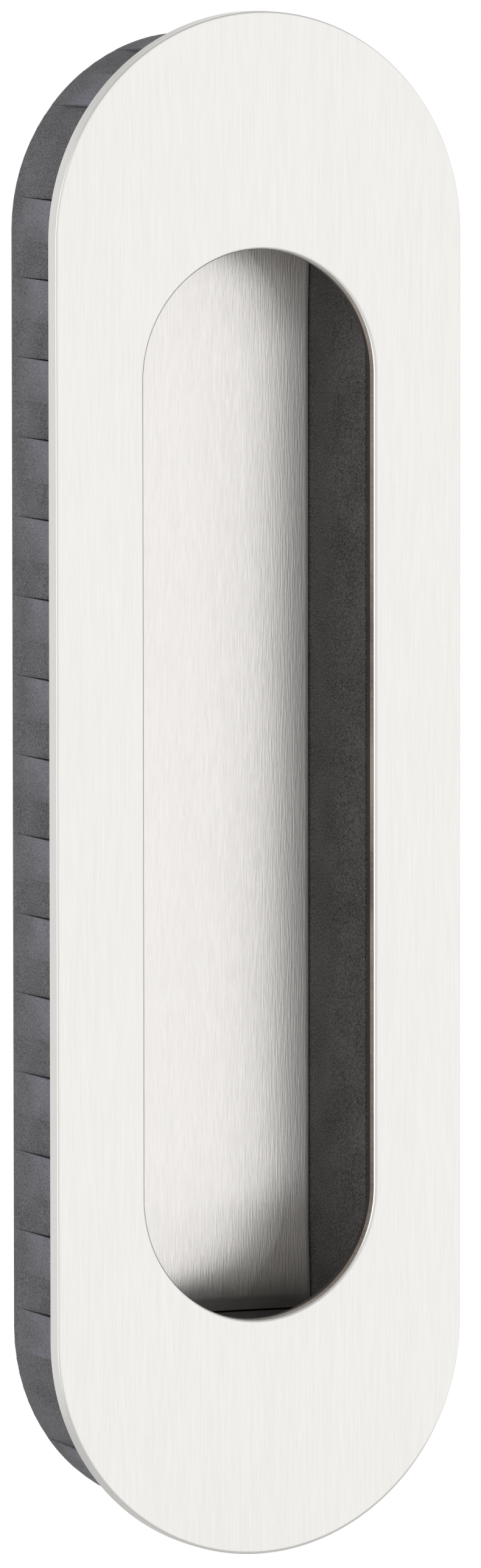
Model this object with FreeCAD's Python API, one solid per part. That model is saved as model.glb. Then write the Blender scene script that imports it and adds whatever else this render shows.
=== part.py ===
"""Recessed pull for a sliding door: brushed cover, moulded tray and dished floor strip.

Sizes are in millimetres. X runs across the pull, Y runs into the door and Z runs up.
The origin is the middle of the cover's rear face, which lies on the door's surface.
"""
import FreeCAD
import Part
import math
import os

# Cover: blanked from stainless sheet, with a mouth for the fingers
COVER_LENGTH = 155.0
COVER_WIDTH = 45.0
COVER_THICKNESS = 1.8
COVER_EDGE_RADIUS = 0.4
MOUTH_LENGTH = 107.6
MOUTH_WIDTH = 25.6
MOUTH_EDGE_RADIUS = 0.45
MOUTH_FLARE = 0.2

# Tray: moulded in one piece, slightly narrower at its back so that it enters the door's pocket
TRAY_LENGTH = 150.4
TRAY_WIDTH = 39.6
TRAY_DEPTH = 15.3
TRAY_DRAFT = 1.6
TRAY_BACK_RADIUS = 0.4

# Finger cavity: a box just wider and longer than the mouth, on a base that is dished across
SIDE_RIM_WIDTH = 6.75
END_RIM_WIDTH = 20.0
CAVITY_CORNER_RADIUS = 0.8
CAVITY_DRAFT = 0.8
BASE_THICKNESS = 0.95
DISH_RADIUS = 95.0

# Cored ring: the thick rim is hollow from behind, with cross webs, so that it moulds evenly
FLANGE_THICKNESS = 2.0
OUTER_WALL = 2.1
INNER_WALL = 1.5
CORE_DRAFT = 0.5
WEB_THICKNESS = 1.2
WEB_PITCH = 16.0
WEBS_PER_END = 4

# Grip pads: low wedges down both sides and round both ends, which jam the tray in its pocket.
# An end pad's place is the angle from the straight side to its middle.
PAD_HEIGHT = 4.3
PAD_PITCH = 8.0
PAD_ROW_OVERRUN = 3.0
PAD_ROW_RISE = 0.6
PAD_LIFT_TOP = 0.55
PAD_LIFT_FOOT = 0.25
PAD_LIFT_BACK = 0.02
PAD_FRONT_GAP = 0.5
PAD_ROOT = 0.5
LOW_END_PAD_ANGLE = 44.3
HIGH_END_PAD_ANGLE = 70.8

# Relief slot: a fine wedge-shaped cut beside each pad's proud edge, which lets that edge give
SLOT_WIDTH = 0.24
SLOT_DEPTH = 1.0
SLOT_LENGTH = 12.0

# Bonding tape between the tray's rim and the cover
TAPE_THICKNESS = 1.0
TAPE_SETBACK = 1.2

# Floor strip: brushed sheet, dished like the tray's base and bonded to it
FLOOR_THICKNESS = 0.5
FLOOR_CLEARANCE = 0.12
FILM_THICKNESS = 0.1
FILM_SETBACK = 0.6

# How far a cutting solid runs past the face that it cuts
OVERCUT = 1.0
# How near a point lies to a plane to count as on it
ON_PLANE = 1e-4

X_AXIS = FreeCAD.Vector(1, 0, 0)
Y_AXIS = FreeCAD.Vector(0, 1, 0)
Z_AXIS = FreeCAD.Vector(0, 0, 1)


def vector(x, y, z):
    return FreeCAD.Vector(x, y, z)


def taper(angle, run):
    """Sideways change of a face that leans by an angle in degrees over a run."""
    return run * math.tan(math.radians(angle))


def oval_wire(width, length, y):
    """Outline at depth y, with straight sides and half-round ends."""
    half_width = width / 2.0
    half_length = length / 2.0
    straight = half_length - half_width
    right_foot = vector(half_width, y, -straight)
    right_top = vector(half_width, y, straight)
    left_top = vector(-half_width, y, straight)
    left_foot = vector(-half_width, y, -straight)
    top = Part.Arc(right_top, vector(0, y, half_length), left_top).toShape()
    foot = Part.Arc(left_foot, vector(0, y, -half_length), right_foot).toShape()
    right = Part.LineSegment(right_foot, right_top).toShape()
    left = Part.LineSegment(left_top, left_foot).toShape()
    return Part.Wire([right, top, left, foot])


def oval_slab(width, length, y_start, y_end):
    """Solid with the same oval outline from one depth to another."""
    face = Part.Face(oval_wire(width, length, y_start))
    return face.extrude(vector(0, y_end - y_start, 0))


def oval_plug(width, length, y_start, y_end, draft):
    """Solid whose oval outline shrinks by the draft on its way from y_start to y_end."""
    shrink = 2.0 * taper(draft, y_end - y_start)
    near = oval_wire(width, length, y_start)
    far = oval_wire(width - shrink, length - shrink, y_end)
    return Part.makeLoft([near, far], True, True)


def box_wire(width, length, y):
    """Rectangle at depth y."""
    x = width / 2.0
    z = length / 2.0
    corners = [vector(-x, y, -z), vector(x, y, -z), vector(x, y, z), vector(-x, y, z)]
    return Part.makePolygon(corners + corners[:1])


def box_plug(width, length, corner_radius, y_start, y_end, draft):
    """Solid whose outline, a rectangle with round corners, shrinks by the draft."""
    run = y_end - y_start
    shrink = 2.0 * taper(draft, run)
    far = box_wire(width - shrink, length - shrink, y_end)
    plug = Part.makeLoft([box_wire(width, length, y_start), far], True, True)
    corners = [edge for edge in plug.Edges if edge.BoundBox.YLength > run / 2.0]
    return plug.makeFillet(corner_radius, corners)


def edges_at_depth(shape, y, width, length):
    """Edges that lie at depth y, within an oval's overall width and length."""
    found = []
    for edge in shape.Edges:
        box = edge.BoundBox
        flat = abs(box.YMin - y) < ON_PLANE and abs(box.YMax - y) < ON_PLANE
        inside = box.XMax < width / 2.0 + ON_PLANE and box.ZMax < length / 2.0 + ON_PLANE
        if flat and inside:
            found.append(edge)
    return found


# Cover plate

def mouth_cutter():
    """Punched opening: straight outline at the face, flared towards the rear."""
    run = COVER_THICKNESS + 2.0 * OVERCUT
    flare_angle = math.degrees(math.atan(MOUTH_FLARE / COVER_THICKNESS))
    spare = 2.0 * taper(flare_angle, OVERCUT)
    start = -COVER_THICKNESS - OVERCUT
    return oval_plug(MOUTH_WIDTH - spare, MOUTH_LENGTH - spare, start, start + run, -flare_angle)


def make_cover_plate():
    face = -COVER_THICKNESS
    plate = oval_slab(COVER_WIDTH, COVER_LENGTH, face, 0.0)
    rim = edges_at_depth(plate, face, COVER_WIDTH, COVER_LENGTH)
    plate = plate.makeFillet(COVER_EDGE_RADIUS, rim)
    plate = plate.cut(mouth_cutter())
    lip = edges_at_depth(plate, face, MOUTH_WIDTH, MOUTH_LENGTH)
    return plate.makeFillet(MOUTH_EDGE_RADIUS, lip)


# Recess tray

def cavity_size(y):
    """Width and length of the finger cavity at depth y."""
    lean = taper(CAVITY_DRAFT, y - TAPE_THICKNESS)
    return TRAY_WIDTH - 2.0 * (SIDE_RIM_WIDTH + lean), TRAY_LENGTH - 2.0 * (END_RIM_WIDTH + lean)


def base_level():
    """Depth of the tray's inner floor along its middle, where the dish is deepest."""
    return TRAY_DEPTH - BASE_THICKNESS


def strip_face_level():
    """Depth of the floor strip's front face along its middle."""
    return base_level() - FILM_THICKNESS - FLOOR_THICKNESS


def dish(y):
    """Round bar whose surface is the dished face that lies at depth y along its middle."""
    radius = DISH_RADIUS + y - strip_face_level()
    foot = vector(0, y - radius, -TRAY_LENGTH / 2.0)
    return Part.makeCylinder(radius, TRAY_LENGTH, foot, Z_AXIS)


def make_cavity():
    start = TAPE_THICKNESS - OVERCUT
    width, length = cavity_size(start)
    end = base_level() + OVERCUT
    plug = box_plug(width, length, CAVITY_CORNER_RADIUS, start, end, CAVITY_DRAFT)
    return plug.common(dish(base_level()))


def tray_block():
    """Outside of the tray as a solid block, with its back edge rounded to enter the pocket."""
    block = oval_plug(TRAY_WIDTH, TRAY_LENGTH, TAPE_THICKNESS, TRAY_DEPTH, TRAY_DRAFT)
    back = edges_at_depth(block, TRAY_DEPTH, TRAY_WIDTH, TRAY_LENGTH)
    return block.makeFillet(TRAY_BACK_RADIUS, back)


def end_centre():
    """Height of the centre of the upper end curve, where the straight side ends."""
    return (TRAY_LENGTH - TRAY_WIDTH) / 2.0


def web_plates():
    """Thin plates across the cored ring: evenly down the sides, radial round the ends."""
    reach = TRAY_WIDTH
    depth = TRAY_DEPTH + OVERCUT
    webs_above_middle = int(end_centre() / WEB_PITCH)
    plates = []
    for index in range(-webs_above_middle, webs_above_middle + 1):
        z = index * WEB_PITCH
        corner = vector(-reach / 2.0, 0, z - WEB_THICKNESS / 2.0)
        plates.append(Part.makeBox(reach, depth, WEB_THICKNESS, corner))
    for index in range(WEBS_PER_END):
        angle = 180.0 * (index + 0.5) / WEBS_PER_END
        for side in (1, -1):
            hub = vector(0, 0, side * end_centre())
            corner = hub - vector(0, 0, WEB_THICKNESS / 2.0)
            plate = Part.makeBox(reach / 2.0, depth, WEB_THICKNESS, corner)
            plate.rotate(hub, Y_AXIS, -side * angle)
            plates.append(plate)
    return plates


def core_pockets():
    """Hollows between the outer wall and the cavity wall, open at the back."""
    roof = TAPE_THICKNESS + FLANGE_THICKNESS
    mouth = TRAY_DEPTH + OVERCUT
    outer_width = TRAY_WIDTH - 2.0 * OUTER_WALL
    outer_length = TRAY_LENGTH - 2.0 * OUTER_WALL
    outer = oval_plug(outer_width, outer_length, roof, mouth, -CORE_DRAFT)
    width, length = cavity_size(TAPE_THICKNESS)
    inner_width = width + 2.0 * INNER_WALL
    inner_length = length + 2.0 * INNER_WALL
    corner = CAVITY_CORNER_RADIUS + INNER_WALL
    inner = box_plug(inner_width, inner_length, corner, roof - OVERCUT, mouth + OVERCUT, CORE_DRAFT)
    return outer.cut(inner).cut(web_plates())


def half_width_at(y):
    """Half of the tray's outside width at depth y."""
    return TRAY_WIDTH / 2.0 - taper(TRAY_DRAFT, y - TAPE_THICKNESS)


def pad_section(z, front_lift):
    """Wedge section across one pad at height z: proud at the front, almost flush at the back."""
    front = TAPE_THICKNESS + PAD_FRONT_GAP
    back = TRAY_DEPTH - TRAY_BACK_RADIUS
    points = [
        vector(half_width_at(front) - PAD_ROOT, front, z),
        vector(half_width_at(front) + front_lift, front, z),
        vector(half_width_at(back) + PAD_LIFT_BACK, back, z),
        vector(half_width_at(back) - PAD_ROOT, back, z),
    ]
    return Part.makePolygon(points + points[:1])


def right_pad():
    """One grip pad on the right-hand wall, centred on z of 0, with its proud edge upwards."""
    top = pad_section(PAD_HEIGHT / 2.0, PAD_LIFT_TOP)
    foot = pad_section(-PAD_HEIGHT / 2.0, PAD_LIFT_FOOT)
    return Part.makeLoft([top, foot], True, True)


def right_slot():
    """Cut just above the proud edge of right_pad, widest at the front and closed at its end."""
    front = TAPE_THICKNESS - OVERCUT
    end = TAPE_THICKNESS + SLOT_LENGTH
    inner = half_width_at(end) - SLOT_DEPTH
    foot = PAD_HEIGHT / 2.0
    points = [vector(inner, front, foot), vector(inner, front, foot + SLOT_WIDTH), vector(inner, end, foot)]
    reach = TRAY_WIDTH / 2.0 + PAD_LIFT_TOP + OVERCUT - inner
    return Part.Face(Part.makePolygon(points + points[:1])).extrude(vector(reach, 0, 0))


def pad_heights():
    """Heights of the pad centres down one side, in a row just longer than the straight wall."""
    row_length = 2.0 * (end_centre() + PAD_ROW_OVERRUN)
    steps = int((row_length - PAD_HEIGHT) / PAD_PITCH)
    first = PAD_ROW_RISE - steps / 2.0 * PAD_PITCH
    return [first + index * PAD_PITCH for index in range(steps + 1)]


def mirrored(shape, normal):
    return shape.mirror(vector(0, 0, 0), normal)


def down_the_sides(shape):
    """Copies of a shape of the right-hand wall, one for each side pad on both walls."""
    copies = []
    for z in pad_heights():
        copy = shape.copy()
        copy.translate(vector(0, 0, z))
        copies.append(copy)
        copies.append(mirrored(copy, X_AXIS))
    return copies


def round_the_ends(shape):
    """Copies of a shape of the right-hand wall, one for each pad on both end curves.

    The proud edges turn to the straight sides.
    """
    rise = math.degrees(PAD_ROW_RISE / (TRAY_WIDTH / 2.0))
    copies = []
    for side in (1, -1):
        hub = vector(0, 0, side * end_centre())
        for angle in (LOW_END_PAD_ANGLE, HIGH_END_PAD_ANGLE):
            copy = shape.copy()
            if side > 0:
                copy = mirrored(copy, Z_AXIS)
            copy.translate(hub)
            copy.rotate(hub, Y_AXIS, -side * (angle + side * rise))
            copies.append(copy)
            copies.append(mirrored(copy, X_AXIS))
    return copies


def pad_envelope():
    """Tray outline grown by the pads' lift, which keeps the pads on the ends as round as the tray."""
    front = TAPE_THICKNESS + PAD_FRONT_GAP
    back = TRAY_DEPTH - TRAY_BACK_RADIUS
    wires = []
    for y, lift in ((front, PAD_LIFT_TOP), (back, PAD_LIFT_BACK)):
        width = 2.0 * (half_width_at(y) + lift)
        wires.append(oval_wire(width, width + 2.0 * end_centre(), y))
    return Part.makeLoft(wires, True, True)


def make_recess_tray():
    envelope = pad_envelope()
    blanks = down_the_sides(right_pad()) + round_the_ends(right_pad())
    pads = [blank.common(envelope) for blank in blanks]
    slots = down_the_sides(right_slot()) + round_the_ends(right_slot())
    tray = tray_block().fuse(pads).cut([make_cavity(), core_pockets()] + slots)
    return tray.removeSplitter()


# Bonding tape, floor strip and its film

def make_cover_tape():
    """Flat ring on the tray's rim, set back from the rim's outer and inner edge."""
    shrink = 2.0 * TAPE_SETBACK
    width, length = cavity_size(TAPE_THICKNESS)
    ring = oval_slab(TRAY_WIDTH - shrink, TRAY_LENGTH - shrink, 0.0, TAPE_THICKNESS)
    corner = CAVITY_CORNER_RADIUS + TAPE_SETBACK
    window = box_plug(width + shrink, length + shrink, corner, -OVERCUT, TAPE_THICKNESS + OVERCUT, 0.0)
    return ring.cut(window)


def dished_sheet(y, thickness, setback):
    """Sheet that follows the dish behind depth y, set back from the foot of the cavity wall."""
    width, length = cavity_size(base_level())
    width -= 2.0 * setback
    length -= 2.0 * setback
    corner = CAVITY_CORNER_RADIUS
    blank = box_plug(width, length, corner, y - TRAY_DEPTH / 2.0, y + thickness + OVERCUT, 0.0)
    return blank.common(dish(y + thickness)).cut(dish(y))


def make_floor_strip():
    return dished_sheet(strip_face_level(), FLOOR_THICKNESS, FLOOR_CLEARANCE)


def make_floor_film():
    return dished_sheet(strip_face_level() + FLOOR_THICKNESS, FILM_THICKNESS, FILM_SETBACK)


def main():
    os.makedirs("parts", exist_ok=True)
    nodes = {
        "cover_plate": make_cover_plate(),
        "cover_tape": make_cover_tape(),
        "recess_tray": make_recess_tray(),
        "floor_strip": make_floor_strip(),
        "floor_film": make_floor_film(),
    }
    for name, shape in nodes.items():
        box = shape.BoundBox
        print(name, shape.isValid(), len(shape.Solids), "solid", len(shape.Faces), "faces",
              "volume", round(shape.Volume, 1),
              "size", round(box.XLength, 2), round(box.YLength, 2), round(box.ZLength, 2))
        shape.exportStep("parts/" + name + ".step")


main()
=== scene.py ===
# %% [markdown]
# A flush pull for a sliding door, dressed piece by piece.
# The real pull is a brushed steel cover with a long mouth, over a moulded tray that is pressed
# into the door. This lesson loads its solids as a fixed frame, then makes each piece's finish
# and its fine edges. The frame comes first, because every piece takes its place from it.

# %% Load the frame
import math

import bmesh
import bpy
from mathutils import Matrix, Vector


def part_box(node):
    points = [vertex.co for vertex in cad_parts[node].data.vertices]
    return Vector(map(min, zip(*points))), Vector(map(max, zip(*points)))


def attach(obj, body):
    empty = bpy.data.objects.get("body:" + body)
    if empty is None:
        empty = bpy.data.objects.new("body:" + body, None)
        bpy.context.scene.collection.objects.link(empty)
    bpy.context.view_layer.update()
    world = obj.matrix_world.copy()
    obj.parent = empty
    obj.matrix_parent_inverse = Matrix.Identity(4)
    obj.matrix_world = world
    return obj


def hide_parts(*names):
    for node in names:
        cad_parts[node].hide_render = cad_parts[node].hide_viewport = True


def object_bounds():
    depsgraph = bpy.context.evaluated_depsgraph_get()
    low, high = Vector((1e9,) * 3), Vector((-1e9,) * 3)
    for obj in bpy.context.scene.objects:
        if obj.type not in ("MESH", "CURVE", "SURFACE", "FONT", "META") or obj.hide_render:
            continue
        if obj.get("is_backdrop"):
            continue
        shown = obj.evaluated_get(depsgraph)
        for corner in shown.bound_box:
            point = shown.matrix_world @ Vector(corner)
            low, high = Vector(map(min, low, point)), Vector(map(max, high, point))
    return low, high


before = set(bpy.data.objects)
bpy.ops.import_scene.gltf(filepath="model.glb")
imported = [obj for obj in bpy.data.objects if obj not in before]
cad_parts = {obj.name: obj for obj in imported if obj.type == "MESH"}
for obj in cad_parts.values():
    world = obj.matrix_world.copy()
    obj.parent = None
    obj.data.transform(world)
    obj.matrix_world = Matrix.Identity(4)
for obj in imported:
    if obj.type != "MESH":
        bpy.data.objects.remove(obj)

MM = 0.001
cad_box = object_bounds()
print("nodes:", sorted(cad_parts))
print("box in mm:", [[round(v / MM, 2) for v in corner] for corner in cad_box])

# %% [markdown]
# The camera is the photograph's own. A long lens stands about a metre and a half away, 26 degrees
# to the left of square on and 5 degrees above. A camera's place can be found by eye, or worked
# out from the object's known sizes. Here it was worked out, because an oval 155 mm long and 45 mm
# wide fixes the angle to a fraction of a degree.

# %% Camera
PICTURE_HEIGHT = 2576
LENS_IN_PIXELS = 25000
SENSOR = 36.0
AZIMUTH = math.radians(26.18)
ELEVATION = math.radians(5.463)
ROLL = math.radians(-0.055)
DISTANCE = 1522.45 * MM
AIM_RIGHT = -1.952 * MM
AIM_UP = 0.234 * MM

face_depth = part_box("cover_plate")[0].y
back = Vector((
    -math.sin(AZIMUTH) * math.cos(ELEVATION),
    -math.cos(AZIMUTH) * math.cos(ELEVATION),
    math.sin(ELEVATION),
))
level = Vector((0, 0, 1)).cross(back).normalized()
right = Matrix.Rotation(ROLL, 3, back) @ level
up = back.cross(right)
place = Vector((0, face_depth, 0)) + back * DISTANCE + right * AIM_RIGHT + up * AIM_UP

lens = bpy.data.cameras.new("photo_camera")
lens.sensor_width = SENSOR
lens.lens = SENSOR * LENS_IN_PIXELS / PICTURE_HEIGHT
camera = bpy.data.objects.new("photo_camera", lens)
axes = Matrix((right, up, back)).transposed()
camera.matrix_world = Matrix.Translation(place) @ axes.to_4x4()
bpy.context.scene.collection.objects.link(camera)
bpy.context.scene.camera = camera
print("lens in mm:", round(lens.lens, 1), "camera at mm:", [round(v / MM) for v in place])

# %% [markdown]
# Three helpers are used by every finish. Colours are written as the hex values that a screen
# shows, and one function turns them to the linear light that a shader works in. One function adds
# a node, its settings and its links. One starts a material with its shader and output. A mix node
# has many sockets with the same names, so its two colours and its result go by number.

# %% Helpers for finishes
FIRST_COLOUR, SECOND_COLOUR = 6, 7
MIXED = 2
COLOUR_MIX = {"data_type": "RGBA"}


def linear(code):
    """Linear colour from a hex code such as D8D4CC."""
    channels = [int(code[i:i + 2], 16) / 255 for i in (0, 2, 4)]
    return [c / 12.92 if c <= 0.04045 else ((c + 0.055) / 1.055) ** 2.4 for c in channels] + [1.0]


def add(tree, kind, settings=None, inputs=None):
    """Adds a node. An input is a value, or another node's output, which is linked."""
    node = tree.nodes.new(kind)
    for name, value in (settings or {}).items():
        setattr(node, name, value)
    for name, value in (inputs or {}).items():
        if isinstance(value, bpy.types.NodeSocket):
            tree.links.new(value, node.inputs[name])
        else:
            node.inputs[name].default_value = value
    return node


def new_material(name, shader_values):
    """A material with its main shader's plain values set. Returns it, its tree and the shader."""
    material = bpy.data.materials.new(name)
    material.use_nodes = True
    tree = material.node_tree
    tree.nodes.clear()
    shader = add(tree, "ShaderNodeBsdfPrincipled", inputs=shader_values)
    add(tree, "ShaderNodeOutputMaterial", inputs={"Surface": shader.outputs["BSDF"]})
    return material, tree, shader


print("white is", [round(v, 3) for v in linear("FFFFFF")])

# %% [markdown]
# Brushed stainless steel is drawn lengthwise over an abrasive belt, which leaves fine parallel
# scratches. Each scratch scatters light across itself and hardly along itself, so a reflection
# smears sideways. The grain could be a picture; here it is noise stretched along the brushing,
# which has no seams and can be scaled from the real scratch's width. A belt of grit 240 leaves
# scratches 0.03 mm wide, too fine for a pixel of 0.06 mm, so they are drawn five times as wide.
# The shader's anisotropy gives the smear, and its tangent lies across the grain. Wider and longer
# noise under the scratches stands for the passes of the belt.

# %% Brushed steel
PASS_WIDTH = 8
PASS_LENGTH = 6
PASS_SHARE = 0.2
GRAIN_FROM, GRAIN_TO = 0.35, 0.85
GLOSS_SPREAD = 0.03
BUMP_STRENGTH = 0.6


def stretched_noise(tree, place, width, length, detail):
    """Noise whose patches are this wide across the brushing and this long along it."""
    stretch = add(tree, "ShaderNodeMapping", inputs={
        "Vector": place, "Scale": (1 / width, 1 / width, 1 / length),
    })
    noise = add(tree, "ShaderNodeTexNoise", inputs={
        "Vector": stretch.outputs["Vector"], "Scale": 1.0, "Detail": detail, "Roughness": 0.6,
    })
    return noise.outputs["Fac"]


def brushed_steel(name, bright, dull, scratch_width, scratch_length, rough, smear, relief):
    """Steel brushed along Z. Bright and dull are the two ends of the grain's tones."""
    material, tree, shader = new_material(name, {
        "Metallic": 1.0,
        "Anisotropic": smear,
    })
    place = add(tree, "ShaderNodeTexCoord").outputs["Object"]
    scratches = stretched_noise(tree, place, scratch_width, scratch_length, 2.0)
    passes = stretched_noise(
        tree, place, PASS_WIDTH * scratch_width, PASS_LENGTH * scratch_length, 1.0)
    both = add(tree, "ShaderNodeMath", {"operation": "MULTIPLY_ADD"}, {
        0: passes, 1: PASS_SHARE, 2: scratches,
    })
    amount = add(tree, "ShaderNodeMapRange", inputs={
        "Value": both.outputs["Value"], "From Min": GRAIN_FROM, "From Max": GRAIN_TO,
    })
    tint = add(tree, "ShaderNodeMix", COLOUR_MIX, {
        "Factor": amount.outputs["Result"],
        FIRST_COLOUR: linear(dull), SECOND_COLOUR: linear(bright),
    })
    gloss = add(tree, "ShaderNodeMapRange", inputs={
        "Value": amount.outputs["Result"],
        "To Min": rough + GLOSS_SPREAD, "To Max": rough - GLOSS_SPREAD,
    })
    bump = add(tree, "ShaderNodeBump", inputs={
        "Height": both.outputs["Value"], "Distance": relief, "Strength": BUMP_STRENGTH,
    })
    tangent = add(tree, "ShaderNodeTangent", {"direction_type": "RADIAL", "axis": "Z"})
    tree.links.new(tint.outputs[MIXED], shader.inputs["Base Color"])
    tree.links.new(gloss.outputs["Result"], shader.inputs["Roughness"])
    tree.links.new(bump.outputs["Normal"], shader.inputs["Normal"])
    tree.links.new(tangent.outputs["Tangent"], shader.inputs["Tangent"])
    return material


# The cover's fine grain is nearly flat to the eye and smears its reflections wide
cover_steel = brushed_steel(
    "brushed stainless steel, fine grain", bright="F5F4F0", dull="F1EFEB",
    scratch_width=0.17 * MM, scratch_length=5 * MM, rough=0.27, smear=0.55, relief=0.001 * MM,
)
# The strip's scratches are shorter and deeper, and show where its reflections turn dark
floor_steel = brushed_steel(
    "brushed stainless steel, coarse grain", bright="F7F4F1", dull="F1EEEB",
    scratch_width=0.15 * MM, scratch_length=2.4 * MM, rough=0.235, smear=0.2, relief=0.012 * MM,
)
print("steel:", cover_steel.name, "and", floor_steel.name)

# %% [markdown]
# The mouth's cut edge is the same steel, but the punch made its surface. The front half was sheared:
# it is smooth, with fine lines in the punch's direction. The rear half broke away, so it is rough,
# and its colour is also painted much darker: painted shade from the gap behind it. Each zone is its
# own finish. Both colours are painted a little brown: a painted reflection of the dark tray, which
# the edge faces more than the white room.

# %% Punched edge
LINE_WIDTH = 0.25 * MM
LINE_LENGTH = 2 * MM
LINE_DEPTH = 0.004 * MM
LINE_SHARE = 0.4
LINE_GLOSS_SPREAD = 0.06
PATCH_SIZE = 9 * MM
PATCH_FROM, PATCH_TO = 0.5, 0.9


def punched_steel(name, bright, dull, rough):
    """Cut edge with lines along Y, the punch's way, and broad patches along the edge."""
    material, tree, shader = new_material(name, {"Metallic": 1.0})
    place = add(tree, "ShaderNodeTexCoord").outputs["Object"]
    lines = add(tree, "ShaderNodeMapping", inputs={
        "Vector": place, "Scale": (1 / LINE_WIDTH, 1 / LINE_LENGTH, 1 / LINE_WIDTH),
    })
    fine = add(tree, "ShaderNodeTexNoise", inputs={"Vector": lines.outputs["Vector"], "Scale": 1.0})
    patches = add(tree, "ShaderNodeTexNoise", inputs={"Vector": place, "Scale": 1 / PATCH_SIZE})
    both = add(tree, "ShaderNodeMath", {"operation": "MULTIPLY_ADD"}, {
        0: fine.outputs["Fac"], 1: LINE_SHARE, 2: patches.outputs["Fac"],
    })
    amount = add(tree, "ShaderNodeMapRange", inputs={
        "Value": both.outputs["Value"], "From Min": PATCH_FROM, "From Max": PATCH_TO,
    })
    tint = add(tree, "ShaderNodeMix", COLOUR_MIX, {
        "Factor": amount.outputs["Result"],
        FIRST_COLOUR: linear(dull), SECOND_COLOUR: linear(bright),
    })
    gloss = add(tree, "ShaderNodeMapRange", inputs={
        "Value": fine.outputs["Fac"],
        "To Min": rough - LINE_GLOSS_SPREAD, "To Max": rough + LINE_GLOSS_SPREAD,
    })
    bump = add(tree, "ShaderNodeBump", inputs={
        "Height": fine.outputs["Fac"], "Distance": LINE_DEPTH, "Strength": BUMP_STRENGTH,
    })
    tree.links.new(tint.outputs[MIXED], shader.inputs["Base Color"])
    tree.links.new(gloss.outputs["Result"], shader.inputs["Roughness"])
    tree.links.new(bump.outputs["Normal"], shader.inputs["Normal"])
    return material


# Both edge colours are darkened and browned as painted reflection of the tray; the broken zone's is
# darker still as painted shade.
sheared_steel = punched_steel("stainless steel, sheared edge, painted tray reflection", "C2B7AD", "80756C", 0.32)
broken_steel = punched_steel("stainless steel, broken edge, painted shade and reflection", "463E38", "332D28", 0.5)
print("cut edge:", sheared_steel.name, "and", broken_steel.name)

# %% [markdown]
# The tray is moulded in dark grey ABS. The mould was spark eroded, so the plastic copies a fine
# even grain that breaks up its shine, and the melt leaves faint cloudy differences in tone. Two
# noises do that: one at the grain's size for relief and speckle, one at some millimetres for tone.
# The real grain is 0.05 mm; it is drawn three times as coarse, so that it shows. The foam and the
# film are plastics too, and differ only in their values: the foam is black, and its colour is
# painted darker still as painted shade in the narrow gap where it sits, and the film is pale and
# hardly shows at all.

# %% Moulded plastics
PLASTIC_IOR = 1.53
PLASTIC_SHINE = 0.3
CLOUD_SIZE = 5 * MM
CLOUD_SHARE = 0.2
SPECKLE_FROM, SPECKLE_TO = 0.43, 0.77
PLASTIC_ROUGH_FROM, PLASTIC_ROUGH_TO = 0.48, 0.66
PLASTIC_BUMP_STRENGTH = 0.7


def grained_plastic(name, dark, light, grain_size, grain_height):
    """Plastic with speckle between two tones. Returns the material, its tree, shader and tone."""
    material, tree, shader = new_material(name, {
        "IOR": PLASTIC_IOR, "Specular IOR Level": PLASTIC_SHINE,
    })
    place = add(tree, "ShaderNodeTexCoord").outputs["Object"]
    grain = add(tree, "ShaderNodeTexNoise", inputs={
        "Vector": place, "Scale": 1 / grain_size, "Detail": 2.0, "Roughness": 0.7,
    })
    clouds = add(tree, "ShaderNodeTexNoise", inputs={
        "Vector": place, "Scale": 1 / CLOUD_SIZE, "Detail": 3.0, "Roughness": 0.5,
    })
    mix = add(tree, "ShaderNodeMath", {"operation": "MULTIPLY_ADD"}, {
        0: clouds.outputs["Fac"], 1: CLOUD_SHARE, 2: grain.outputs["Fac"],
    })
    amount = add(tree, "ShaderNodeMapRange", inputs={
        "Value": mix.outputs["Value"], "From Min": SPECKLE_FROM, "From Max": SPECKLE_TO,
    })
    tone = add(tree, "ShaderNodeMix", COLOUR_MIX, {
        "Factor": amount.outputs["Result"],
        FIRST_COLOUR: linear(dark), SECOND_COLOUR: linear(light),
    })
    gloss = add(tree, "ShaderNodeMapRange", inputs={
        "Value": grain.outputs["Fac"],
        "To Min": PLASTIC_ROUGH_FROM, "To Max": PLASTIC_ROUGH_TO,
    })
    bump = add(tree, "ShaderNodeBump", inputs={
        "Height": grain.outputs["Fac"],
        "Distance": grain_height, "Strength": PLASTIC_BUMP_STRENGTH,
    })
    tree.links.new(tone.outputs[MIXED], shader.inputs["Base Color"])
    tree.links.new(gloss.outputs["Result"], shader.inputs["Roughness"])
    tree.links.new(bump.outputs["Normal"], shader.inputs["Normal"])
    return material, tree, shader, tone.outputs[MIXED]


# The foam's near-black tones are partly its own black and partly painted shade in the gap.
tape_foam = grained_plastic(
    "black acrylic foam tape", "080808", "161514", 0.2 * MM, 0.03 * MM)[0]
clear_film = grained_plastic(
    "double-sided film", "C4C3BD", "D8D7D2", 0.3 * MM, 0.004 * MM)[0]
# This tray's tone gets painted highlight, painted reflection and painted shade in the next cell.
tray_plastic, tray_tree, tray_shader, tray_tone = grained_plastic(
    "dark grey ABS, spark eroded", "28272B", "77767A", 0.17 * MM, 0.016 * MM)
print("plastics:", tray_plastic.name, tape_foam.name, clear_film.name)

# %% [markdown]
# Three places on the tray have light and shade painted into their tone. The pads' proud faces get a
# lighter, slightly blue painted highlight. The cavity's walls face the steel strip and are painted a
# little browner, a painted warm reflection. Its end walls are painted darker, as painted shade under
# the cover's lip. A mask could be painted by hand, but all these places are known in millimetres. A
# pad stands further from the tray's middle line than the drafted wall does, and the cavity lies
# inside a fixed half width, half length and depth. Folding the coordinates at the middle does both
# ends and both sides at once.

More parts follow.
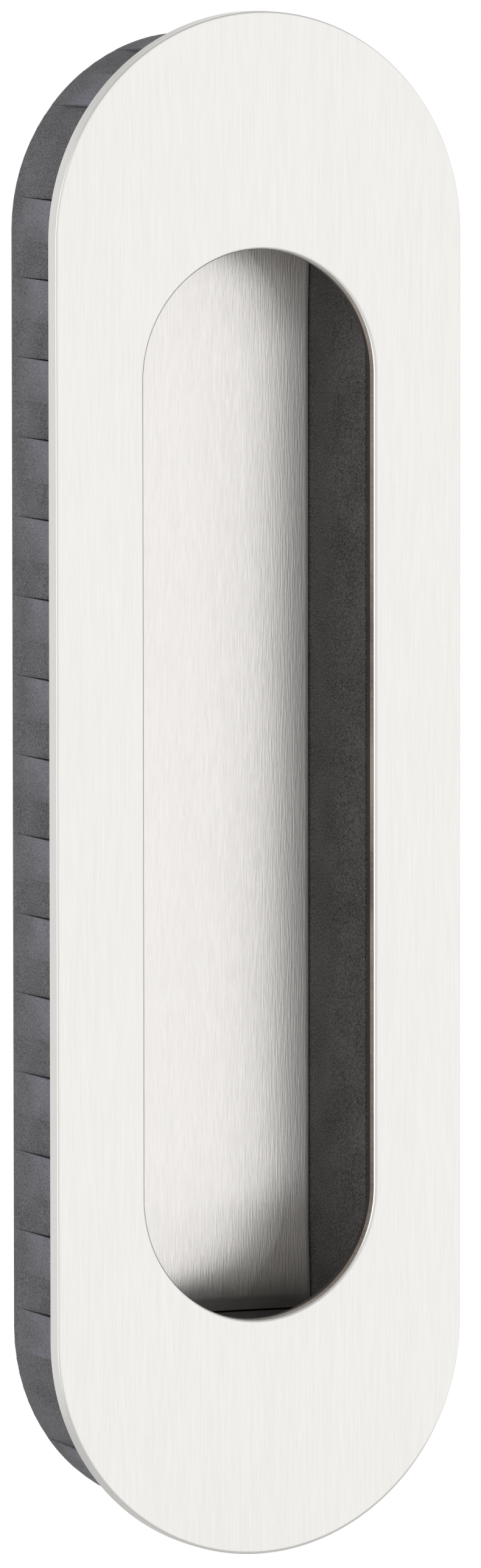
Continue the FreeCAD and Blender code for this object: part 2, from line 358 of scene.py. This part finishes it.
# %% Painted highlight on the pads, painted reflection and shade in the cavity
# The tray's outer wall: half its width at the front, and how it leans in towards the back
WALL_HALF_WIDTH = 19.8 * MM
WALL_FRONT = 1.0 * MM
WALL_LEAN = math.tan(math.radians(1.6))
END_CENTRE = 55.4 * MM
# How far a pad stands off that wall where its painted highlight starts and where it is full
PAD_LIFT_FROM = 0.06 * MM
PAD_LIFT_TO = 0.32 * MM
# Painted highlight, lighter and a little blue, on the pads' proud faces
PAD_HIGHLIGHT_TONE = "4A4A55"
# A box that holds the cavity's walls and nothing of the tray's outside or back
CAVITY_REACH = 13.3 * MM
CAVITY_END = 55.5 * MM
CAVITY_DEPTH = 14.5 * MM
# Painted warm reflection, a browner tone, on the cavity's walls
WARM_REFLECTION_TONE = "FFFBEF"
# Where the cavity's walls turn round to its ends, and the painted shade there starts and is full
END_SHADE_FROM = 53.4 * MM
END_SHADE_TO = 54.9 * MM
# Painted shade on the end walls under the cover's lip
END_SHADE_TONE = "8A827B"

place = add(tray_tree, "ShaderNodeTexCoord").outputs["Object"]
folded = add(tray_tree, "ShaderNodeVectorMath", {"operation": "ABSOLUTE"}, {0: place})
past_centre = add(tray_tree, "ShaderNodeVectorMath", {"operation": "SUBTRACT"}, {
    0: folded.outputs["Vector"], 1: (0, 0, END_CENTRE),
})
outward = add(tray_tree, "ShaderNodeVectorMath", {"operation": "MAXIMUM"}, {
    0: past_centre.outputs["Vector"], 1: (0, 0, 0),
})
in_section = add(tray_tree, "ShaderNodeVectorMath", {"operation": "MULTIPLY"}, {
    0: outward.outputs["Vector"], 1: (1, 0, 1),
})
from_middle = add(tray_tree, "ShaderNodeVectorMath", {"operation": "LENGTH"}, {
    0: in_section.outputs["Vector"],
})
depth = add(tray_tree, "ShaderNodeSeparateXYZ", inputs={"Vector": place})
wall_at_depth = add(tray_tree, "ShaderNodeMath", {"operation": "MULTIPLY_ADD"}, {
    0: depth.outputs["Y"], 1: -WALL_LEAN, 2: WALL_HALF_WIDTH + WALL_LEAN * WALL_FRONT,
})
lift = add(tray_tree, "ShaderNodeMath", {"operation": "SUBTRACT"}, {
    0: from_middle.outputs["Value"], 1: wall_at_depth.outputs["Value"],
})
# Painted highlight where a pad stands proud of the wall
pad_highlight_mask = add(tray_tree, "ShaderNodeMapRange", {"interpolation_type": "SMOOTHSTEP"}, {
    "Value": lift.outputs["Value"], "From Min": PAD_LIFT_FROM, "From Max": PAD_LIFT_TO,
})
folded_parts = add(tray_tree, "ShaderNodeSeparateXYZ", inputs={
    "Vector": folded.outputs["Vector"],
})
within_sides = add(tray_tree, "ShaderNodeMath", {"operation": "LESS_THAN"}, {
    0: folded_parts.outputs["X"], 1: CAVITY_REACH,
})
within_ends = add(tray_tree, "ShaderNodeMath", {"operation": "LESS_THAN"}, {
    0: folded_parts.outputs["Z"], 1: CAVITY_END,
})
before_back = add(tray_tree, "ShaderNodeMath", {"operation": "LESS_THAN"}, {
    0: depth.outputs["Y"], 1: CAVITY_DEPTH,
})
within_both = add(tray_tree, "ShaderNodeMath", {"operation": "MULTIPLY"}, {
    0: within_sides.outputs["Value"], 1: within_ends.outputs["Value"],
})
shut_in = add(tray_tree, "ShaderNodeMath", {"operation": "MULTIPLY"}, {
    0: within_both.outputs["Value"], 1: before_back.outputs["Value"],
})
# Painted warm reflection on all the cavity's walls
warm_reflected = add(tray_tree, "ShaderNodeMix", {**COLOUR_MIX, "blend_type": "MULTIPLY"}, {
    "Factor": shut_in.outputs["Value"],
    FIRST_COLOUR: tray_tone, SECOND_COLOUR: linear(WARM_REFLECTION_TONE),
})
# Painted shade towards the cavity's end walls
end_shade_ramp = add(tray_tree, "ShaderNodeMapRange", {"interpolation_type": "SMOOTHSTEP"}, {
    "Value": folded_parts.outputs["Z"], "From Min": END_SHADE_FROM, "From Max": END_SHADE_TO,
})
end_shade_mask = add(tray_tree, "ShaderNodeMath", {"operation": "MULTIPLY"}, {
    0: end_shade_ramp.outputs["Result"], 1: shut_in.outputs["Value"],
})
end_shaded = add(tray_tree, "ShaderNodeMix", {**COLOUR_MIX, "blend_type": "MULTIPLY"}, {
    "Factor": end_shade_mask.outputs["Value"],
    FIRST_COLOUR: warm_reflected.outputs[MIXED], SECOND_COLOUR: linear(END_SHADE_TONE),
})
# The pads' painted highlight is added last
with_pad_highlight = add(tray_tree, "ShaderNodeMix", {**COLOUR_MIX, "blend_type": "ADD"}, {
    "Factor": pad_highlight_mask.outputs["Result"],
    FIRST_COLOUR: end_shaded.outputs[MIXED], SECOND_COLOUR: linear(PAD_HIGHLIGHT_TONE),
})
tray_tree.links.new(with_pad_highlight.outputs[MIXED], tray_shader.inputs["Base Color"])
print("masks made on", tray_plastic.name)

# %% [markdown]
# Most outlines of this pull are ovals: two half circles joined by straight sides. A half circle
# could be typed in as points, but one vertex spun through half a turn gives it exactly. Loops
# made in this way all have the same number of vertices, so two of them bridge into clean quads.
# Each finished mesh takes its node's place, and rides on the pull's one body.

# %% Oval loops
ARC_STEPS = 96
ACROSS = Vector((0, 1, 0))
SHARP_SHADING = math.radians(35)


def oval_loop(bm, width, length, depth):
    """Closed loop of edges in the plane at this depth, with round ends."""
    radius = width / 2
    rise = length / 2 - radius
    ends = []
    for side in (1, -1):
        start = bm.verts.new((side * radius, depth, side * rise))
        arc = bmesh.ops.spin(
            bm, geom=[start], cent=(0, depth, side * rise), axis=ACROSS,
            angle=-math.pi, steps=ARC_STEPS, use_merge=False,
        )
        last = next(item for item in arc["geom_last"] if isinstance(item, bmesh.types.BMVert))
        ends.append((start, last))
    (right_top, left_top), (left_foot, right_foot) = ends
    bm.edges.new((left_top, left_foot))
    bm.edges.new((right_foot, right_top))
    return loop_from(right_top)


def loop_from(vertex):
    """All the edges of the open chain or ring that holds this vertex, in the same order each run."""
    found = {}
    waiting = [vertex]
    while waiting:
        for edge in waiting.pop().link_edges:
            if edge not in found:
                found[edge] = True
                waiting.extend(edge.verts)
    return list(found)


def finish_piece(bm, name, materials, node, sharp_angle=SHARP_SHADING):
    """Turns the mesh into a shown piece that stands for a node and rides on the one body."""
    mesh = bpy.data.meshes.new(name)
    bm.to_mesh(mesh)
    bm.free()
    mesh.shade_smooth()
    mesh.set_sharp_from_angle(angle=sharp_angle)
    for material in materials:
        mesh.materials.append(material)
    piece = bpy.data.objects.new(name, mesh)
    bpy.context.scene.collection.objects.link(piece)
    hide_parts(node)
    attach(piece, "root")
    print(name, "has", len(mesh.polygons), "faces")


# %% [markdown]
# The cover is blanked from sheet and its mouth is punched. The punch pulls the face in before it
# cuts, so the lip is a wide and shallow roll. Then it shears a bright band, and the rest breaks
# away at a slight flare. A boolean and a bevel would give a round lip and untidy faces. Here the
# section is a row of loops, up the rim and over its roll, and another down the lip and the cut.
# Each loop is bridged to the next, and two fills with a hole close the face and the back. Extra
# loops close beside each curve, and an inset of the face, keep the flat parts' shading flat,
# because a smooth face takes its shading from its corners.

# %% Cover plate
MOUTH_WIDTH = 25.6 * MM
MOUTH_LENGTH = 107.6 * MM
MOUTH_FLARE = 0.05 * MM
SHEARED_TO = 0.95 * MM
# The outer edge's roll and the mouth's lip, each measured across the face and down from it
RIM_WIDTH = 0.35 * MM
RIM_DEPTH = 0.13 * MM
LIP_WIDTH = 0.51 * MM
LIP_DEPTH = 0.28 * MM
ROLL_STEPS = 12
BURR_BREAK = 0.06 * MM
# Distance from a curve's end to the loop that keeps the next flat part's shading flat
SUPPORT = 0.02 * MM
BRUSHED, SHEARED, BROKEN = range(3)

low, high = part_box("cover_plate")
cover_width = high.x - low.x
cover_length = high.z - low.z
thickness = high.y - low.y
burr_start = thickness - BURR_BREAK
flare_slope = MOUTH_FLARE / (burr_start - SHEARED_TO)
quarter = [math.radians(90) * step / ROLL_STEPS for step in range(ROLL_STEPS + 1)]

# Each pair is a loop's distance inside the cover's outline and its depth below the face
rim = [
    (BURR_BREAK, thickness), (0, burr_start), (0, burr_start - SUPPORT), (0, RIM_DEPTH + SUPPORT),
]
rim += [(RIM_WIDTH * (1 - math.cos(turn)), RIM_DEPTH * (1 - math.sin(turn))) for turn in quarter]

# Each triple is a loop's distance outside the mouth's outline, its depth, and the zone after it
mouth = [
    (LIP_WIDTH * (1 - math.sin(turn)), LIP_DEPTH * (1 - math.cos(turn)), BRUSHED)
    for turn in quarter[:-1]
]
mouth += [
    (0, LIP_DEPTH, SHEARED), (0, LIP_DEPTH + SUPPORT, SHEARED), (0, SHEARED_TO - SUPPORT, SHEARED),
    (0, SHEARED_TO, BROKEN), (flare_slope * SUPPORT, SHEARED_TO + SUPPORT, BROKEN),
    (MOUTH_FLARE, burr_start, BROKEN), (MOUTH_FLARE + BURR_BREAK, thickness, BROKEN),
]


def fill_ring(bm, edges):
    """Closes the flat space between two loops and returns its faces."""
    made = bmesh.ops.triangle_fill(bm, edges=edges, normal=ACROSS, use_beauty=True)["geom"]
    return [item for item in made if isinstance(item, bmesh.types.BMFace)]


bm = bmesh.new()
rim_loops = [
    oval_loop(bm, cover_width - 2 * inset, cover_length - 2 * inset, low.y + depth)
    for inset, depth in rim
]
for near, far in zip(rim_loops, rim_loops[1:]):
    bmesh.ops.bridge_loops(bm, edges=near + far)
mouth_loops = [
    oval_loop(bm, MOUTH_WIDTH + 2 * reach, MOUTH_LENGTH + 2 * reach, low.y + depth)
    for reach, depth, zone in mouth
]
for near, far, (reach, depth, zone) in zip(mouth_loops, mouth_loops[1:], mouth):
    for face in bmesh.ops.bridge_loops(bm, edges=near + far)["faces"]:
        face.material_index = zone
face = fill_ring(bm, rim_loops[-1] + mouth_loops[0])
bmesh.ops.inset_region(
    bm, faces=face, thickness=SUPPORT, use_boundary=True, use_even_offset=True)
fill_ring(bm, mouth_loops[-1] + rim_loops[0])
bmesh.ops.recalc_face_normals(bm, faces=bm.faces)
print("cover volume in mm3:", round(bm.calc_volume() / MM ** 3, 1))
finish_piece(bm, "brushed_cover", [cover_steel, sheared_steel, broken_steel], "cover_plate")

# %% [markdown]
# The tray's solid already has its walls, pads, slots and webs. It arrives as loose triangles, so
# a copy is merged and its flat areas are joined. Then its sharp edges are rolled a little, as a
# mould's edges are, and the edge that fingers meet, round the cavity, is rolled more. Rolled
# edges catch light, and that is what makes each pad readable.

# %% Tray
EDGE_ROLL = 0.06 * MM
EDGE_STEPS = 2
CAVITY_EDGE_ROLL = 0.3 * MM
CAVITY_EDGE_STEPS = 4
TRAY_SHADING = math.radians(30)
MERGE_WITHIN = 0.002 * MM
FLAT_WITHIN = math.radians(0.6)
SHARP_FROM = math.radians(24)


def joined_copy(node):
    """Merged copy of a node's triangles with its flat areas joined into single faces."""
    bm = bmesh.new()
    bm.from_mesh(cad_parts[node].data)
    bmesh.ops.remove_doubles(bm, verts=bm.verts, dist=MERGE_WITHIN)
    bmesh.ops.dissolve_limit(
        bm, angle_limit=FLAT_WITHIN, verts=bm.verts, edges=bm.edges, delimit=set(),
        use_dissolve_boundaries=False,
    )
    return bm


def sharp_edges(bm):
    """Edges where two faces meet at more than a slight angle."""
    return [
        edge for edge in bm.edges
        if len(edge.link_faces) == 2 and edge.calc_face_angle() > SHARP_FROM
    ]


def roll_edges(bm, edges, size, steps):
    """Rolls the edges over. Where two rolls would meet, both are kept smaller."""
    bmesh.ops.bevel(
        bm, geom=edges, offset=size, offset_type="OFFSET", segments=steps, profile=0.5,
        affect="EDGES", clamp_overlap=True, material=-1,
    )


bm = joined_copy("recess_tray")
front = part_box("recess_tray")[0].y
cavity_rim = [
    edge for edge in sharp_edges(bm)
    if all(abs(v.co.y - front) < MERGE_WITHIN and abs(v.co.x) < CAVITY_REACH for v in edge.verts)
    and all(abs(v.co.z) < CAVITY_END for v in edge.verts)
]
roll_edges(bm, cavity_rim, CAVITY_EDGE_ROLL, CAVITY_EDGE_STEPS)
creases = sharp_edges(bm)
roll_edges(bm, creases, EDGE_ROLL, EDGE_STEPS)
print("tray edges rolled:", len(cavity_rim), "round the cavity and", len(creases), "others")
finish_piece(bm, "moulded_tray", [tray_plastic], "recess_tray", TRAY_SHADING)

# %% [markdown]
# The strip on the cavity's floor is thinner sheet, cut to a rectangle with round corners and
# pressed to a shallow dish. It is hollow across its width, and it rises softly near both ends.
# No edge shows that, but its reflections do: they turn dark further from the cavity's walls than
# a flat strip's would. One face with bevelled corners gives the outline. A face bends only where
# it has edges, so it is cut into narrow lanes before its vertices move onto the dish. The film
# behind it is the same sheet again, thinner and a little smaller.

# %% Floor strip and film
# The strip is dished deeper than the tray's bed, on which the film lies
STRIP_RADIUS = 78 * MM
BED_RADIUS = 95.5 * MM
END_REACH = 9.4 * MM
END_RISE = 0.38 * MM
CORNER_RADIUS = 0.8 * MM
CORNER_STEPS = 8
# Spacing of the cuts that let the sheet bend, across it and along it
LANE = 0.4 * MM
ROW = 1.5 * MM
# A bend sharper than this is the sheet's own edge, and not part of the dish
RIM_FROM = math.radians(60)
RIM_STEPS = 3


def rounded_rectangle(bm, width, length, corner, depth):
    """Adds a flat face at this depth, with round corners. Returns the face."""
    made = bmesh.ops.create_grid(bm, x_segments=1, y_segments=1, size=0.5)
    bmesh.ops.scale(bm, verts=made["verts"], vec=(width, length, 1))
    upright = Matrix.Rotation(math.radians(90), 3, "X")
    bmesh.ops.rotate(bm, verts=made["verts"], cent=(0, 0, 0), matrix=upright)
    bmesh.ops.translate(bm, verts=made["verts"], vec=(0, depth, 0))
    bmesh.ops.bevel(
        bm, geom=made["verts"], offset=corner, offset_type="OFFSET", segments=CORNER_STEPS,
        profile=0.5, affect="VERTICES", material=-1,
    )
    return bm.faces[:]


def cut_lanes(bm, step, reach, across):
    """Cuts all the faces by planes a step apart, square to this direction."""
    lanes = math.ceil(2 * reach / step)
    for index in range(1, lanes):
        bmesh.ops.bisect_plane(
            bm, geom=bm.verts[:] + bm.edges[:] + bm.faces[:],
            plane_co=across * (reach * (2 * index / lanes - 1)), plane_no=across,
        )


def thicken(bm, faces, thickness):
    """Extrudes flat or dished faces backwards into a closed sheet."""
    wall = bmesh.ops.extrude_face_region(bm, geom=faces)
    moved = [item for item in wall["geom"] if isinstance(item, bmesh.types.BMVert)]
    bmesh.ops.translate(bm, verts=moved, vec=(0, thickness, 0))
    bmesh.ops.recalc_face_normals(bm, faces=bm.faces)


def dished_sheet(node, thickness, radius, edge_break):
    """Sheet with a node's outline, deepest along its middle."""
    low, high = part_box(node)
    rise = radius - math.sqrt(radius ** 2 - high.x ** 2)
    bm = bmesh.new()
    rounded_rectangle(bm, high.x - low.x, high.z - low.z, CORNER_RADIUS, low.y)
    cut_lanes(bm, LANE, high.x, Vector((1, 0, 0)))
    cut_lanes(bm, ROW, high.z, Vector((0, 0, 1)))
    for vertex in bm.verts:
        past = max(0, abs(vertex.co.z) - high.z + END_REACH)
        hollow = rise - radius + math.sqrt(radius ** 2 - vertex.co.x ** 2)
        vertex.co.y = low.y + hollow - END_RISE * (1 - math.cos(math.pi * past / END_REACH)) / 2
    thicken(bm, bm.faces[:], thickness)
    rims = [edge for edge in bm.edges if edge.calc_face_angle(0) > RIM_FROM]
    bmesh.ops.bevel(
        bm, geom=rims, offset=edge_break, offset_type="OFFSET", segments=RIM_STEPS, profile=0.5,
        affect="EDGES", material=-1,
    )
    print(node, "is dished by mm:", round(rise / MM, 3))
    return bm


STRIP_THICKNESS = 0.3 * MM
STRIP_BREAK = 0.08 * MM
FILM_THICKNESS = 0.1 * MM
FILM_BREAK = 0.02 * MM
bm = dished_sheet("floor_strip", STRIP_THICKNESS, STRIP_RADIUS, STRIP_BREAK)
finish_piece(bm, "brushed_floor", [floor_steel], "floor_strip")
bm = dished_sheet("floor_film", FILM_THICKNESS, BED_RADIUS, FILM_BREAK)
finish_piece(bm, "floor_adhesive", [clear_film], "floor_film")

# %% [markdown]
# The foam ring between the tray and the cover is die cut: an oval outside, with a window that
# follows the cavity. The two outlines have different shapes, so no bridge fits between them. A
# fill that knows holes closes the space between the loops, and one extrusion gives the foam.

# %% Foam ring
WINDOW_WIDTH = 28.5 * MM
WINDOW_LENGTH = 112.8 * MM
WINDOW_CORNER = 2.0 * MM

low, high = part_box("cover_tape")
bm = bmesh.new()
window = rounded_rectangle(bm, WINDOW_WIDTH, WINDOW_LENGTH, WINDOW_CORNER, low.y)
bmesh.ops.delete(bm, geom=window, context="FACES_ONLY")
oval_loop(bm, high.x - low.x, high.z - low.z, low.y)
thicken(bm, fill_ring(bm, bm.edges[:]), high.y - low.y)
print("foam ring volume in mm3:", round(bm.calc_volume() / MM ** 3, 1))
finish_piece(bm, "foam_ring", [tape_foam], "cover_tape")

# %% [markdown]
# Brushed steel shows what stands round it, so the studio is as much a part of its look as the
# shader. The photograph's light is soft and comes from all sides, but not evenly, as in a white
# tent whose walls aren't equally bright. The world repeats that: a ramp round the horizon gives
# each wall its tone, and the roof is even and dimmer. The walls' tones were found by following
# the reflections back from the lip, the rim and the strip. The camera itself sees plain white
# behind the pull.

# %% Studio
# Tone of the tent's walls, by the angle in degrees from straight ahead towards the right
WALLS = (
    (-180, 0.76), (-154, 0.76), (-120, 0.80), (-85, 0.95), (-60, 1.0), (-32, 0.68), (-8, 0.66),
    (5, 0.98), (26, 1.0), (55, 1.0), (90, 0.85), (130, 0.85), (180, 0.76),
)
ROOF = 0.5
# Height on a unit sphere where the walls start to turn into the roof, and where they have
ROOF_FROM, ROOF_TO = 0.25, 0.7
PLAIN_WHITE = (1, 1, 1, 1)

world = bpy.data.worlds.new("white_tent")
bpy.context.scene.world = world
world.use_nodes = True
tree = world.node_tree
tree.nodes.clear()
ahead = add(tree, "ShaderNodeTexCoord").outputs["Generated"]
turn = add(tree, "ShaderNodeMapping", inputs={
    "Vector": ahead, "Rotation": (0, 0, math.radians(90)),
})
angle = add(tree, "ShaderNodeTexGradient", {"gradient_type": "RADIAL"}, {
    "Vector": turn.outputs["Vector"],
})
walls = add(tree, "ShaderNodeValToRGB", inputs={"Fac": angle.outputs["Fac"]})
ramp = walls.color_ramp
ramp.interpolation = "EASE"
ramp.elements.remove(ramp.elements[1])
for index, (degrees, tone) in enumerate(WALLS):
    stop = ramp.elements[0] if index == 0 else ramp.elements.new((degrees + 180) / 360)
    stop.position = (degrees + 180) / 360
    stop.color = (tone, tone, tone, 1)
height = add(tree, "ShaderNodeSeparateXYZ", inputs={"Vector": ahead})
roofed = add(tree, "ShaderNodeMapRange", {"interpolation_type": "SMOOTHSTEP"}, {
    "Value": height.outputs["Z"], "From Min": ROOF_FROM, "From Max": ROOF_TO,
})
tent = add(tree, "ShaderNodeMix", COLOUR_MIX, {
    "Factor": roofed.outputs["Result"],
    FIRST_COLOUR: walls.outputs["Color"], SECOND_COLOUR: (ROOF, ROOF, ROOF, 1),
})
lit = add(tree, "ShaderNodeBackground", inputs={"Color": tent.outputs[MIXED]})
plain = add(tree, "ShaderNodeBackground", inputs={"Color": PLAIN_WHITE})
seen = add(tree, "ShaderNodeLightPath").outputs["Is Camera Ray"]
shown = add(tree, "ShaderNodeMixShader", inputs={
    0: seen, 1: lit.outputs["Background"], 2: plain.outputs["Background"],
})
add(tree, "ShaderNodeOutputWorld", inputs={"Surface": shown.outputs["Shader"]})
bpy.context.scene.view_settings.view_transform = "Standard"
print("tent walls:", len(WALLS), "tones")

# %% [markdown]
# The pull belongs in a door, so nothing carries it here. A pale table top lies a hand's breadth
# below, out of the picture, and gives the pull's underside the light that a floor would.

# %% Table top
TABLE_DROP = 72 * MM
TABLE_RADIUS = 220 * MM
TABLE_SEGMENTS = 128

bm = bmesh.new()
bmesh.ops.create_circle(bm, cap_ends=True, segments=TABLE_SEGMENTS, radius=TABLE_RADIUS)
bmesh.ops.translate(bm, verts=bm.verts, vec=(0, 0, cad_box[0].z - TABLE_DROP))
mesh = bpy.data.meshes.new("table_top")
bm.to_mesh(mesh)
bm.free()
table = bpy.data.objects.new("table_top", mesh)
white_laminate = new_material("white laminate", {
    "Base Color": linear("FAFAFA"), "Roughness": 0.7, "Specular IOR Level": 0.2,
})[0]
mesh.materials.append(white_laminate)
bpy.context.scene.collection.objects.link(table)
table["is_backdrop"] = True

# %% [markdown]
# One large soft light stands outside the tent's left wall, at the pull's own height, as the
# photograph's softly lit side shows. It is big for its distance, so its shadows have no hard edge.

# %% Side light
SOFTBOX_SIZE = 1.2
SOFTBOX_POWER = 2.0
SOFTBOX_PLACE = (-1.3, -0.6, 0.1)

lamp = bpy.data.lights.new("side_softbox", "AREA")
lamp.shape = "SQUARE"
lamp.size = SOFTBOX_SIZE
lamp.energy = SOFTBOX_POWER
softbox = bpy.data.objects.new("side_softbox", lamp)
softbox.location = SOFTBOX_PLACE
softbox.rotation_euler = (-Vector(softbox.location)).to_track_quat("-Z", "Y").to_euler()
bpy.context.scene.collection.objects.link(softbox)

# %% [markdown]
# The dressed pull must keep the size of its solids, so both boxes are written down and compared.
# The ends of the strip rise only inside the cavity, so the whole box stays the same.

dressed_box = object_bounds()
for name, before, after in zip(("low", "high"), cad_box, dressed_box):
    print(name, "corner moved by mm:", [round((b - a) / MM, 3) for a, b in zip(before, after)])
